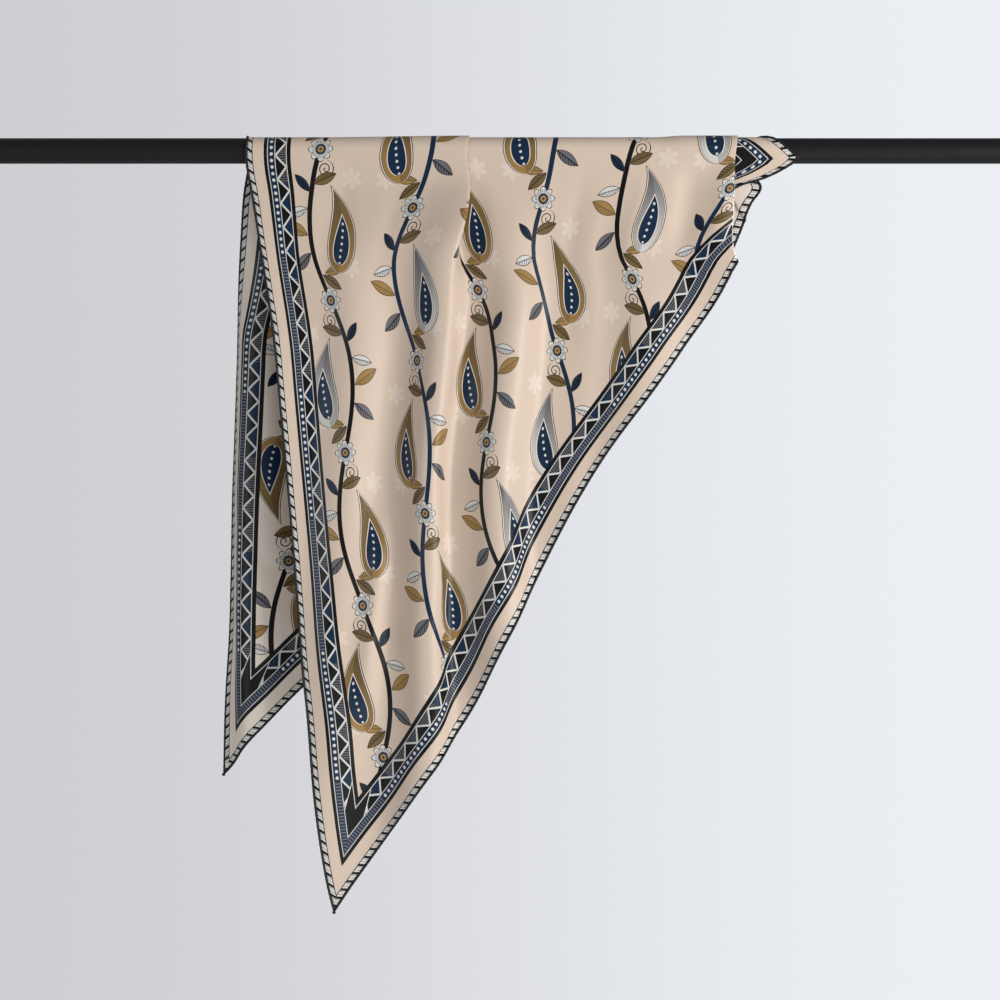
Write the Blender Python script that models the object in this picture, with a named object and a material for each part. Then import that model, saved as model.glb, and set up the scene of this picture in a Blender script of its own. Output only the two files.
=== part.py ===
# A triangle scarf hung over a plain round rail, in metres, +Z up.
#
# The origin is the middle of the rail's axis.  +X runs along the rail, the front
# of the scarf hangs on the -Y side and the back on the +Y side.
#
# The scarf is one flat right-angled triangle of cloth.  Each point of the flat
# cloth has two numbers: "across" (along the rail) and "down" (over the rail,
# more than 0 on the front and less than 0 on the back).  A short table of folds
# says how far each fold line stands out, and place() turns across and down into
# a point of the hung cloth.  Each row follows its folds at its own length and is
# then eased or stretched as a whole, so that its ends meet the outline tables.

import math

import bmesh
import bpy
import numpy as np
from mathutils import Vector

# ---------------------------------------------------------------- main sizes
RAIL_RADIUS = 0.016
RAIL_LENGTH = 1.32
RAIL_SIDES = 48

LONG_EDGE = 1.80                 # the long edge of the flat triangle
HEIGHT = LONG_EDGE / 2           # from the long edge to the right-angled corner
FRONT_PART = 0.9817              # of the long edge, from the rail's top to the front tip
LEAN = math.radians(2.86)        # the long edge isn't quite square to the rail
EDGE_X = -0.3188                 # where the long edge crosses the rail
GIVE = 1.0035                    # how much the hanging cloth stretches under its own weight

WALL = 0.0010                    # thickness of the cloth's wall
GAP = 0.0003                     # kept between neighbouring pieces
SIT = 0.0005                     # rail's skin to the cloth's inner face
WRAP_RADIUS = RAIL_RADIUS + SIT + WALL / 2
QUARTER = WRAP_RADIUS * math.pi / 2   # down value where the cloth leaves the rail

HEM_RADIUS = 0.0015              # rolled hem
HEM_SIDES = 6
HEM_RISE = 0.0012                # the roll stands this far out of the cloth's middle
HEM_GAP = 0.0004                 # between the hem and the cloth's cut edge
CLOTH_INSET = 0.0034             # cloth's cut edge, in from the outline
TIP_ROOM = 0.0015                # the long edge's hem stops this far from a tip
HEM_ROOM = 0.0060                # a leg's hem stops this far from that
CORNER_ROOM = 0.0042             # and this far from the other hem at the right angle

FRONT_SWAY = 0.0619              # the hanging cloth swings across, per metre down
BACK_SWAY = 0.0117
FOLD_DRIFT = 0.10                # the front's fold lines swing the other way
BACK_DRIFT = 0.04
FOLDS_FORMED = (0.030, 0.28)     # down values where folds begin and are fully formed
PLEAT_OPEN = (0.06, 0.25)        # down values over which a flat pleat opens to a fold
TURN_AT_RAIL = 0.0040            # length of cloth in a pleat's turn, at the rail
TURN_MORE = 0.0090               # added to it lower down
TURN_GROWS = (0.02, 0.11)
TURN_COLUMNS = 4                 # columns of the mesh in a pleat's turn
BACK_PLEAT_ENDS = (0.028, 0.080) # down values over which the back's second pleat ends
BACK_PLEAT_LOSS = 0.85           # share of that pleat that is let out
PLEAT_RAMP = 0.20                # across length over which the cloth rises to the first pleat
SECOND_EASE = 0.14               # how much the second pleat opens, as a share

STEP = 0.0005                    # step of the sums along a row
ACROSS = np.arange(-0.10, 1.0, STEP)
STEEPEST = 0.96                  # sine of a soft fold's steepest slope
NEARBY = 0.0004                  # flat distance to a neighbour that gives a direction
CUT_SNAP = 0.0016                # a grid point this near a cut is moved onto it
CUT_TOLERANCE = 0.00002
ON_CUT = 0.00005                 # a point this near a cut lies on it
MARK_SPACING = 0.0013            # least distance between two rings of a hem

# ------------------------------------------------------------------- tables
# Folds of the front, left to right.
# (across at the rail, across lower down, stands out, turn of the cloth at the rail in degrees)
FRONT_FOLDS = [
    (-0.120, -0.1200, 0.003, 0.0),
    (-0.010, 0.0200, 0.009, 0.0),
    (0.090, 0.0950, 0.005, 0.0),
    (0.160, 0.1600, 0.019, 0.0),
    (0.240, 0.2280, 0.006, 0.0),
    (0.2905, 0.3050, 0.042, 0.0),
    (0.3385, 0.3530, 0.014, -180.0),
    (0.450, 0.4320, 0.043, 0.0),
    (0.510, 0.4980, 0.014, 0.0),
    (0.570, 0.5700, 0.022, 0.0),
    (0.620, 0.6500, 0.036, 0.0),
    (0.670, 0.7360, 0.026, 6.0),
    (0.733, 0.8280, 0.034, 0.0),
    (0.782, 0.8830, 0.023, -180.0),
    (1.020, 1.0200, 0.017, 0.0),
]
# Folds of the back, in the same columns.
BACK_FOLDS = [
    (-0.120, -0.1200, 0.050, 0.0),
    (-0.060, -0.0380, 0.050, 0.0),
    (0.020, 0.0300, 0.006, 0.0),
    (0.100, 0.1000, 0.026, 0.0),
    (0.210, 0.1850, 0.004, 0.0),
    (0.2905, 0.2700, 0.034, 0.0),
    (0.3385, 0.3300, 0.006, -180.0),
    (0.450, 0.4050, 0.030, 0.0),
    (0.510, 0.4800, 0.004, 0.0),
    (0.570, 0.5500, 0.030, 0.0),
    (0.620, 0.6200, 0.006, 0.0),
    (0.670, 0.6800, 0.022, 6.0),
    (0.733, 0.7350, 0.026, 0.0),
    (0.782, 0.7850, 0.008, -180.0),
    (1.020, 1.0200, 0.006, 0.0),
]
PLEATED_ROWS = 10                # both tables end with this many rows for the same folds
# How deep the folds are. (down, share of the tables above)
FOLD_DEPTH = [(0.0, 1.0), (0.30, 1.0), (0.60, 1.0), (0.78, 0.80), (0.90, 0.60), (1.0, 0.50)]

# Outline of the hung cloth. (down, distance from EDGE_X along the rail)
FRONT_LEFT = [
    (0.0, 0.0), (0.042, 0.0), (0.083, 0.007), (0.117, 0.0126), (0.163, 0.020),
    (0.203, 0.0265), (0.235, 0.0315), (0.273, 0.0365), (0.330, 0.0416), (0.468, 0.0542),
    (0.592, 0.0643), (0.669, 0.0703), (0.730, 0.0770), (0.844, 0.0868), (0.905, 0.0950),
    (0.947, 0.1026), (0.9805, 0.1109),
]
FRONT_RIGHT = [
    (0.1680, 0.6110), (0.1800, 0.6080), (0.2141, 0.5909), (0.2771, 0.5472), (0.3401, 0.5022),
    (0.4031, 0.4548), (0.4661, 0.4157), (0.5291, 0.3826), (0.5921, 0.3513), (0.6551, 0.3202),
    (0.7181, 0.2892), (0.7811, 0.2495), (0.8441, 0.2070), (0.9046, 0.1640), (0.9805, 0.1109),
]
BACK_LEFT = [
    (0.0, 0.0), (0.042, -0.0010), (0.078, -0.0065), (0.131, -0.0110), (0.203, -0.0160),
    (0.276, -0.0188), (0.379, -0.0226), (0.458, -0.0258), (0.572, -0.0282),
    (0.637, -0.0300), (0.716, -0.0345), (0.8173, -0.0365),
]
BACK_RIGHT = [
    (0.050, 0.6500), (0.063, 0.6430), (0.076, 0.6385), (0.089, 0.6365), (0.102, 0.6350),
    (0.139, 0.6210), (0.250, 0.5400),
    (0.400, 0.3900), (0.550, 0.2320), (0.700, 0.0710), (0.7445, 0.0262), (0.7700, 0.0018),
    (0.7950, -0.0210), (0.8173, -0.0365),
]
# Fold of the second pleat, which is the outline where the leg is hidden, in the same columns.
PLEAT_EDGE = [(0.0, 0.6180), (0.030, 0.6160), (0.060, 0.6125), (0.150, 0.6045), (0.9805, 0.6060)]
# Where the front's first pleat folds over, at these heights. (down, across)
FIRST_PLEAT = [
    (0.0, 0.2905), (0.040, 0.2930), (0.070, 0.3020), (0.100, 0.3100), (0.143, 0.3180),
    (0.180, 0.3170), (0.220, 0.3120), (0.280, 0.3050),
]
FIRST_HIDDEN = 0.0480            # cloth that this pleat hides
# Cloth that the front's second pleat hides, at these heights. (down, across from fold to fold)
SECOND_PLEAT = [
    (0.0, 0.0490), (0.037, 0.0460), (0.044, 0.0465), (0.050, 0.0490), (0.057, 0.0530),
    (0.063, 0.0580), (0.070, 0.0680), (0.078, 0.0720), (0.090, 0.0680), (0.120, 0.0550),
    (0.280, 0.0550),
]
FRONT_EDGE_FROM = 0.1680         # above this down value the second pleat is the outline
BACK_EDGE_FROM = (0.028, 0.055)
TIP_LIMIT = 0.94                 # share of a tip's length past which the stretch is kept
# A row's stretch is averaged with its neighbours'. (down from the row, share)
AVERAGED = [(-0.030, 0.1), (-0.015, 0.2), (0.0, 0.4), (0.015, 0.2), (0.030, 0.1)]

# Colours. (red, green, blue)
CREAM = (0.64, 0.53, 0.43)
DARK = (0.02, 0.018, 0.018)
BLACK_METAL = (0.03, 0.03, 0.032)


# ------------------------------------------------------------- flat triangle
def flat_point(along, inward):
    """A point of the flat cloth, from lengths along the long edge and in from it."""
    across = along * math.sin(LEAN) + inward * math.cos(LEAN)
    down = along * math.cos(LEAN) - inward * math.sin(LEAN)
    return np.array([across, down])


FRONT_TIP = flat_point(FRONT_PART, 0.0)
BACK_TIP = flat_point(FRONT_PART - LONG_EDGE, 0.0)
CORNER = flat_point(FRONT_PART - HEIGHT, HEIGHT)


def smooth_step(start, end, value):
    share = np.clip((np.asarray(value, float) - start) / (end - start), 0.0, 1.0)
    return share * share * (3.0 - 2.0 * share)


def read_curve(value, rows):
    """A smooth curve through the rows of a table with two columns."""
    at = np.array([row[0] for row in rows])
    height = np.array([row[1] for row in rows])
    slope = np.gradient(height, at)
    value = float(np.clip(value, at[0], at[-1]))
    i = int(np.clip(np.searchsorted(at, value) - 1, 0, len(at) - 2))
    span = at[i + 1] - at[i]
    u = (value - at[i]) / span
    start = (2 * u**3 - 3 * u**2 + 1) * height[i] + (u**3 - 2 * u**2 + u) * span * slope[i]
    end = (3 * u**2 - 2 * u**3) * height[i + 1] + (u**3 - u**2) * span * slope[i + 1]
    return float(start + end)


def swing(down):
    """How far the hanging cloth has swung across at this height."""
    sway = FRONT_SWAY if down > 0 else BACK_SWAY
    return sway * down


def fold_lines(down):
    """The table in use and where its fold lines are at this height."""
    table = FRONT_FOLDS if down >= 0 else BACK_FOLDS
    drift = FOLD_DRIFT if down >= 0 else BACK_DRIFT
    formed = float(smooth_step(*FOLDS_FORMED, abs(down)))
    moved = drift * max(0.0, abs(down) - FOLDS_FORMED[1])
    lines = [row[0] + (row[1] - row[0]) * formed - moved for row in table]
    if down < 0:
        ended = float(smooth_step(*BACK_PLEAT_ENDS, -down)) * BACK_PLEAT_LOSS
        lines[-2] = lines[-3] + (lines[-2] - lines[-3]) * (1 - ended)
    else:
        lines[-PLEATED_ROWS] = read_curve(down, FIRST_PLEAT) - moved
        lines[-PLEATED_ROWS + 1] = lines[-PLEATED_ROWS] + FIRST_HIDDEN
        lines[-2] = lines[-3] + read_curve(down, SECOND_PLEAT)
    return table, lines


def turn_length(down):
    return TURN_AT_RAIL + TURN_MORE * float(smooth_step(*TURN_GROWS, abs(down)))


def row_edges(down):
    """Across values of the long edge and of the leg at this height, once hung."""
    left = down * math.tan(LEAN) + swing(down)
    if down >= CORNER[1]:
        share = (FRONT_TIP[1] - down) / (FRONT_TIP[1] - CORNER[1])
        right = FRONT_TIP[0] + (CORNER[0] - FRONT_TIP[0]) * share
    else:
        share = (down - BACK_TIP[1]) / (CORNER[1] - BACK_TIP[1])
        right = BACK_TIP[0] + (CORNER[0] - BACK_TIP[0]) * share
    return left, right + swing(down)


folded_store = {}
hung_store = {}


def folded_row(down):
    """One row of the cloth in its folds, before it is stretched to the outline.

    Gives the length along the rail and the distance out for each across, and then
    the length along at the long edge, at the second pleat and at the leg.
    """
    key = round(down, 7)
    if key in folded_store:
        return folded_store[key]
    table, lines = fold_lines(down)
    formed = float(smooth_step(*FOLDS_FORMED, abs(down)))
    opened = float(smooth_step(*PLEAT_OPEN, abs(down)))
    depth = read_curve(abs(down), FOLD_DEPTH) * formed
    heading = np.zeros_like(ACROSS)
    for i in range(1, len(table)):
        length = lines[i] - lines[i - 1]
        inside = (ACROSS >= lines[i - 1]) & (ACROSS < lines[i])
        u = (ACROSS[inside] - lines[i - 1]) / length
        rise = (table[i][2] - table[i - 1][2]) * depth
        slope = rise * math.pi / 2 / length * np.sin(math.pi * u)
        folded = np.arcsin(np.clip(slope, -STEEPEST, STEEPEST))
        degrees = table[i][3]
        if abs(degrees) > 90:
            edge = min(0.5, turn_length(down) / length)
            closed_share = min(1.0, length / (2 * turn_length(down)))
            flat = np.clip(np.minimum(u, 1 - u) / edge, 0.0, 1.0) * closed_share
            if i == len(table) - 2:
                heading[inside] = math.radians(degrees) * flat * (1 - SECOND_EASE * formed)
            else:
                closed = (math.radians(degrees) - folded) * flat
                turned = closed * (1 - opened) + folded * opened
                heading[inside] = turned
                dropped = float(np.sum(np.sin(turned) - np.sin(folded))) * STEP
        else:
            hump = smooth_step(0, 0.5, u) * (1 - smooth_step(0.5, 1, u))
            heading[inside] = 2 * math.radians(degrees) * hump * (1 - formed) + folded
    cosine = np.cos(heading)
    sine = np.sin(heading)
    along = np.concatenate([[0.0], np.cumsum(cosine[1:] + cosine[:-1]) * STEP / 2])
    out = np.concatenate([[0.0], np.cumsum(sine[1:] + sine[:-1]) * STEP / 2])
    # The cloth before the first pleat rises by what that pleat drops, so that the rest stays level.
    before = lines[-PLEATED_ROWS]
    out = out + table[0][2] * depth - dropped * smooth_step(before - PLEAT_RAMP, before, ACROSS)
    left, right = row_edges(down)
    marks = [float(np.interp(value, ACROSS, along)) for value in (left, lines[-3], right)]
    folded_store[key] = (along, out, marks)
    return folded_store[key]


def row_start(down):
    """Where the long edge is along the rail, from EDGE_X."""
    return read_curve(abs(down), FRONT_LEFT if down >= 0 else BACK_LEFT)


def row_stretch(down):
    """How much this row is stretched so that its edge meets the outline."""
    down = float(np.clip(down, TIP_LIMIT * BACK_TIP[1], TIP_LIMIT * FRONT_TIP[1]))
    at_left, at_pleat, at_right = folded_row(down)[2]
    start = row_start(down)
    pleat_stretch = (read_curve(abs(down), PLEAT_EDGE) - start) / (at_pleat - at_left)
    if down >= 0:
        reach = read_curve(abs(down), FRONT_RIGHT) - start
        leg_shows = float(down >= FRONT_EDGE_FROM)
    else:
        reach = read_curve(abs(down), BACK_RIGHT) - start
        leg_shows = float(smooth_step(*BACK_EDGE_FROM, -down))
    leg_stretch = reach / (at_right - at_left)
    return pleat_stretch * (1 - leg_shows) + leg_stretch * leg_shows


def hung_row(down):
    """One row of the hung cloth: its x and how far it stands out, for each across."""
    key = round(down, 7)
    if key not in hung_store:
        along, out, marks = folded_row(down)
        stretch = sum(share * row_stretch(down + away) for away, share in AVERAGED)
        hung_store[key] = (row_start(down) + (along - marks[0]) * stretch, out)
    return hung_store[key]


def place(across, down):
    """The middle of the cloth's wall, hung, for a point of the flat cloth."""
    along, out = hung_row(down)
    at = across + swing(down)
    x = EDGE_X + float(np.interp(at, ACROSS, along))
    stand = WRAP_RADIUS + float(np.interp(at, ACROSS, out))
    if abs(down) <= QUARTER:
        angle = down / WRAP_RADIUS
        return Vector((x, -stand * math.sin(angle), stand * math.cos(angle)))
    side = 1.0 if down > 0 else -1.0
    return Vector((x, -side * stand, -(abs(down) - QUARTER) * GIVE))


def outward(across, down):
    """The direction out of the cloth's right side."""
    by_across = place(across + NEARBY, down) - place(across - NEARBY, down)
    by_down = place(across, down + NEARBY) - place(across, down - NEARBY)
    return -by_across.cross(by_down).normalized()


# ------------------------------------------------------------------ building
def make_material(name, colour, roughness, metallic):
    material = bpy.data.materials.new(name)
    material.use_nodes = True
    shader = material.node_tree.nodes["Principled BSDF"]
    shader.inputs["Base Color"].default_value = (*colour, 1.0)
    shader.inputs["Roughness"].default_value = roughness
    shader.inputs["Metallic"].default_value = metallic
    return material


def make_object(name, vertices, faces, material):
    mesh = bpy.data.meshes.new(name)
    mesh.from_pydata([tuple(v) for v in vertices], [], faces)
    mesh.polygons.foreach_set("use_smooth", [True] * len(mesh.polygons))
    mesh.update()
    made = bpy.data.objects.new(name, mesh)
    bpy.context.scene.collection.objects.link(made)
    mesh.materials.append(material)
    return made


def column_values(down, per_fold):
    """Across values of a row's columns, closest together where a pleat turns."""
    table, lines = fold_lines(down)
    if abs(down) <= QUARTER:
        # On the rail the front's few folds left of the first pleat serve both sides.
        table = FRONT_FOLDS
        plain = len(FRONT_FOLDS) - PLEATED_ROWS
        lines = [row[0] for row in FRONT_FOLDS[:plain]] + lines[-PLEATED_ROWS:]
    values = []
    for i in range(1, len(lines)):
        length = lines[i] - lines[i - 1]
        shares = [j / per_fold for j in range(per_fold)]
        if abs(table[i][3]) > 90:
            edge = min(0.45, turn_length(down) / length)
            first = [edge * j / TURN_COLUMNS for j in range(TURN_COLUMNS + 1)]
            last = [1 - edge * (TURN_COLUMNS - j) / TURN_COLUMNS for j in range(TURN_COLUMNS)]
            shares = first + [0.5] + last
        values += [lines[i - 1] + length * share for share in shares]
    values.append(lines[-1])
    return [value - swing(down) for value in values]


# The three straight edges of the flat cloth: a point on it and the way in.
OUTLINE = [
    (np.array([0.0, 0.0]), flat_point(0.0, 1.0)),
    (FRONT_TIP, (flat_point(-1.0, 0.0) - flat_point(0.0, 1.0)) / math.sqrt(2)),
    (BACK_TIP, (flat_point(1.0, 0.0) - flat_point(0.0, 1.0)) / math.sqrt(2)),
]


# Points of the cut cloth on each of these edges, so that a hem bends where the cloth does.
edge_marks = [[], [], []]


def make_stretch(name, downs, per_fold, material):
    """A stretch of the cloth's wall between the first and last of these heights."""
    flat = bmesh.new()
    grid = []
    for down in downs:
        values = column_values(down, per_fold)
        points = []
        for value in values:
            point = np.array([value, down])
            for base, inward in OUTLINE:
                off = float(np.dot(point - base, inward)) - CLOTH_INSET
                if abs(off) < CUT_SNAP:
                    point[0] -= off / inward[0]
            points.append(flat.verts.new((point[0], point[1], 0.0)))
        grid.append(points)
    for upper, lower in zip(grid[:-1], grid[1:]):
        for i in range(len(upper) - 1):
            flat.faces.new((upper[i], upper[i + 1], lower[i + 1], lower[i]))
    for base, inward in OUTLINE:
        on_line = base + inward * CLOTH_INSET
        bmesh.ops.bisect_plane(
            flat,
            geom=flat.verts[:] + flat.edges[:] + flat.faces[:],
            dist=CUT_TOLERANCE,
            plane_co=(on_line[0], on_line[1], 0.0),
            plane_no=(-inward[0], -inward[1], 0.0),
            clear_outer=True,
        )
    bmesh.ops.triangulate(flat, faces=flat.faces[:])
    flat.verts.index_update()
    flat.verts.ensure_lookup_table()
    for vertex in flat.verts:
        point = np.array([vertex.co.x, vertex.co.y])
        for marks, (base, inward) in zip(edge_marks, OUTLINE):
            if abs(float(np.dot(point - base, inward)) - CLOTH_INSET) < ON_CUT:
                marks.append(point)
    right_side = []
    wrong_side = []
    for vertex in flat.verts:
        across, down = vertex.co.x, vertex.co.y
        middle = place(across, down)
        half = outward(across, down) * (WALL / 2)
        right_side.append(middle + half)
        wrong_side.append(middle - half)
    count = len(right_side)
    faces = []
    for face in flat.faces:
        ring = [vertex.index for vertex in face.verts]
        if face.normal.z > 0:
            ring.reverse()
        faces.append(ring)
        faces.append([i + count for i in reversed(ring)])
        size = len(ring)
        for i in range(size):
            one, two = ring[i], ring[(i + 1) % size]
            edge = flat.edges.get((flat.verts[one], flat.verts[two]))
            if len(edge.link_faces) == 1:
                faces.append([two, one, one + count, two + count])
    flat.free()
    made = make_object(name, right_side + wrong_side, faces, material)
    for face in made.data.polygons:
        face.use_smooth = len(face.vertices) == 3
    return made


def make_hem(name, start, end, edge, material):
    """A rolled hem between two points of the flat outline, on the given edge."""
    inward = OUTLINE[edge][1]
    length = float(np.linalg.norm(end - start))
    way = (end - start) / length
    stations = [0.0]
    for mark in sorted(float(np.dot(point - start, way)) for point in edge_marks[edge]):
        if mark - stations[-1] > MARK_SPACING and mark < length - MARK_SPACING:
            stations.append(mark)
    stations.append(length)
    centres = []
    rises = []
    aheads = []
    for station in stations:
        point = start + way * station + inward * CLOTH_INSET
        at_edge = place(*point)
        rise = outward(*point)
        ahead = (place(*(point + way * NEARBY)) - place(*(point - way * NEARBY))).normalized()
        aside = ahead.cross(rise).normalized()
        if aside.dot(place(*(point - inward * NEARBY)) - at_edge) < 0:
            aside = -aside
        centres.append(at_edge + aside * (HEM_RADIUS + HEM_GAP) + rise * HEM_RISE)
        rises.append(rise)
        aheads.append(ahead)
    vertices = []
    for centre, rise, ahead in zip(centres, rises, aheads):
        sideways = ahead.cross(rise).normalized()
        upward = sideways.cross(ahead).normalized()
        for j in range(HEM_SIDES):
            angle = 2 * math.pi * (j + 0.5) / HEM_SIDES
            offset = sideways * math.cos(angle) + upward * math.sin(angle)
            vertices.append(centre + offset * HEM_RADIUS)
    faces = []
    rings = len(stations)
    for k in range(rings - 1):
        for j in range(HEM_SIDES):
            a = k * HEM_SIDES + j
            b = k * HEM_SIDES + (j + 1) % HEM_SIDES
            faces.append([a, b, b + HEM_SIDES, a + HEM_SIDES])
    faces.append(list(reversed(range(HEM_SIDES))))
    faces.append([(rings - 1) * HEM_SIDES + j for j in range(HEM_SIDES)])
    made = make_object(name, vertices, faces, material)
    solid = bmesh.new()
    solid.from_mesh(made.data)
    bmesh.ops.recalc_face_normals(solid, faces=solid.faces)
    solid.to_mesh(made.data)
    solid.free()
    return made


def make_rail(material):
    vertices = []
    for x in (-RAIL_LENGTH / 2, RAIL_LENGTH / 2):
        for i in range(RAIL_SIDES):
            angle = 2 * math.pi * i / RAIL_SIDES
            vertices.append((x, RAIL_RADIUS * math.cos(angle), RAIL_RADIUS * math.sin(angle)))
    faces = []
    for i in range(RAIL_SIDES):
        j = (i + 1) % RAIL_SIDES
        faces.append([i, j, j + RAIL_SIDES, i + RAIL_SIDES])
    faces.append(list(reversed(range(RAIL_SIDES))))
    faces.append(list(range(RAIL_SIDES, 2 * RAIL_SIDES)))
    made = make_object("rail", vertices, faces, material)
    solid = bmesh.new()
    solid.from_mesh(made.data)
    bmesh.ops.recalc_face_normals(solid, faces=solid.faces)
    solid.to_mesh(made.data)
    solid.free()
    for face in made.data.polygons:
        face.use_smooth = len(face.vertices) == 4
    return made


for old in list(bpy.data.objects):
    bpy.data.objects.remove(old, do_unlink=True)

cloth = make_material("cloth_cream", CREAM, 0.5, 0.0)
cloth_back = make_material("cloth_cream_back", CREAM, 0.5, 0.0)
cloth_top = make_material("cloth_cream_top", CREAM, 0.5, 0.0)
rail_paint = make_material("rail_black", BLACK_METAL, 0.4, 0.0)

make_rail(rail_paint)

# Heights of the rows, closer together near the rail.
FIRST_ROWS = [
    0.006, 0.013, 0.021, 0.030, 0.040, 0.051, 0.063, 0.077, 0.093, 0.110, 0.124, 0.136, 0.148,
]
FRONT_ROW = 0.036
BACK_ROW = 0.042
OVER_ROWS = 10

half_cut = GAP / 2
front_start = QUARTER + half_cut
front_rows = [front_start] + [QUARTER + step for step in FIRST_ROWS]
while front_rows[-1] < FRONT_TIP[1]:
    front_rows.append(front_rows[-1] + FRONT_ROW)
make_stretch("scarf_front", front_rows, 4, cloth)

back_rows = [-front_start] + [-QUARTER - step for step in FIRST_ROWS]
while back_rows[-1] > BACK_TIP[1]:
    back_rows.append(back_rows[-1] - BACK_ROW)
back_rows.reverse()
make_stretch("scarf_back", back_rows, 3, cloth_back)

over_end = QUARTER - half_cut
over_rows = [over_end * (2 * i / OVER_ROWS - 1) for i in range(OVER_ROWS + 1)]
make_stretch("scarf_over_rail", over_rows, 3, cloth_top)

# Hems: the long edge in two halves that meet on the rail, and one for each leg.
long_way = flat_point(1.0, 0.0)
front_leg_way = (CORNER - FRONT_TIP) / np.linalg.norm(CORNER - FRONT_TIP)
back_leg_way = (CORNER - BACK_TIP) / np.linalg.norm(CORNER - BACK_TIP)

on_rail = np.array([0.0, 0.0])
leg_room = HEM_ROOM + TIP_ROOM
hem_ends = [
    ("hem_long_front", on_rail + long_way * half_cut, FRONT_TIP - long_way * TIP_ROOM, 0),
    ("hem_long_back", on_rail - long_way * half_cut, BACK_TIP + long_way * TIP_ROOM, 0),
    ("hem_leg_front", FRONT_TIP + front_leg_way * leg_room, CORNER, 1),
    ("hem_leg_back", BACK_TIP + back_leg_way * leg_room, CORNER - back_leg_way * CORNER_ROOM, 2),
]
for name, start, end, edge in hem_ends:
    make_hem(name, start, end, edge, make_material(name + "_black", DARK, 0.5, 0.0))

total = sum(sum(len(f.vertices) - 2 for f in o.data.polygons) for o in bpy.data.objects)
print("triangles", total)
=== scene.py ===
# %% [markdown]
# # A silk triangle scarf over a rail
#
# This lesson dresses a plain model of a large triangle scarf that hangs over a
# round black rail. The solids underneath give the place and the size of
# everything. Here the cloth becomes thin silk with a printed pattern, its edge
# gets a rolled hem, and the rail gets a satin black finish.

# %% Load the solids
import math

import bmesh
import bpy
import numpy as np
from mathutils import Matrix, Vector


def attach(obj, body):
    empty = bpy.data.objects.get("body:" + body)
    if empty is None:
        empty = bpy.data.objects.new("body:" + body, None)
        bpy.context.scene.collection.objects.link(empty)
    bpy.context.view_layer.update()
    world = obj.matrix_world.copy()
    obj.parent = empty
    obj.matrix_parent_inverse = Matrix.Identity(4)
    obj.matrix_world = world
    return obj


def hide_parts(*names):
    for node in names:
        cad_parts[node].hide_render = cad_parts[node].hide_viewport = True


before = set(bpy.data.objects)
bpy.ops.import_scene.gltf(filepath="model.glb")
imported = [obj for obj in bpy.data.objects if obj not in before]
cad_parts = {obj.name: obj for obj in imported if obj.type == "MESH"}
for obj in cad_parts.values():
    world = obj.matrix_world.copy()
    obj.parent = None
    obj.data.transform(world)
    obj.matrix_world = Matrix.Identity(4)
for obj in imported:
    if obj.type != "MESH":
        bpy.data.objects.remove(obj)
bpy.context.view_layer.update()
print("solids:", sorted(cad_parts))

# %% [markdown]
# ## The sizes of the cloth
#
# The real scarf is one flat triangle with a right angle: a long edge and two
# equal legs. Every point of it has two numbers, how far across the rail it lies
# and how far down over the rail. The same numbers made the solids, so the silk
# lands exactly on them. It would be possible to copy the solids' faces instead,
# but the numbers can be read again as finely as the silk needs.

# %% Sizes in metres
RAIL_RADIUS = 0.016
WRAP_RADIUS = RAIL_RADIUS + 0.001  # to the middle of the cloth
QUARTER = WRAP_RADIUS * math.pi / 2  # cloth from the top of the rail to its side

LONG_EDGE = 1.80
HEIGHT = LONG_EDGE / 2  # from the long edge to the right angle
FRONT_PART = 0.9817  # of the long edge, from the rail to the front tip
LEAN = math.radians(2.86)  # how far the flat long edge turns from straight down
EDGE_X = -0.3188  # where the long edge crosses the rail
GIVE = 1.0035  # stretch of the hanging cloth under its own weight

# How far the cloth swings across, and its folds drift, for each metre down.
FRONT_SWAY = 0.0619
BACK_SWAY = 0.0117
FOLD_DRIFT = 0.10
BACK_DRIFT = 0.04

# Folds form, pleats open and their turns grow between these down values.
FOLDS_FORMED = (0.030, 0.28)
PLEAT_OPEN = (0.06, 0.25)
TURN_GROWS = (0.02, 0.11)
TURN_MORE = 0.0090
# On the back this share of the second pleat ends between these down values.
BACK_PLEAT_ENDS = (0.028, 0.080)
BACK_PLEAT_LOSS = 0.85
PLEAT_RAMP = 0.20  # across, over which the cloth rises towards the first pleat
SECOND_EASE = 0.14  # share of its turn that the second pleat loses lower down

# Silk is thinner than the solids' wall, so its pleats lie closer together.
TURN_AT_RAIL = 0.0016
PLEAT_RISE = 0.40

STEP = 0.0005  # from one across value to the next
ACROSS = np.arange(-0.10, 1.0, STEP)
STEEPEST = 0.96  # sine of the steepest slope of a fold
PLEAT_DEGREES = 90  # a fold line's turn that is larger than this makes a pleat
print("flat cloth: long edge", LONG_EDGE, "height", HEIGHT)

# %% [markdown]
# ## The folds
#
# Silk over a rail hangs in soft upright folds. Two of them are laid flat on the
# rail as pleats and open out below it. Each row of these tables is one fold
# line: where it is on the rail, where it is lower down, how far it stands out,
# and how far the cloth turns there on the rail, in degrees. The other tables
# are the outline, read off at a few heights.

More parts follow.
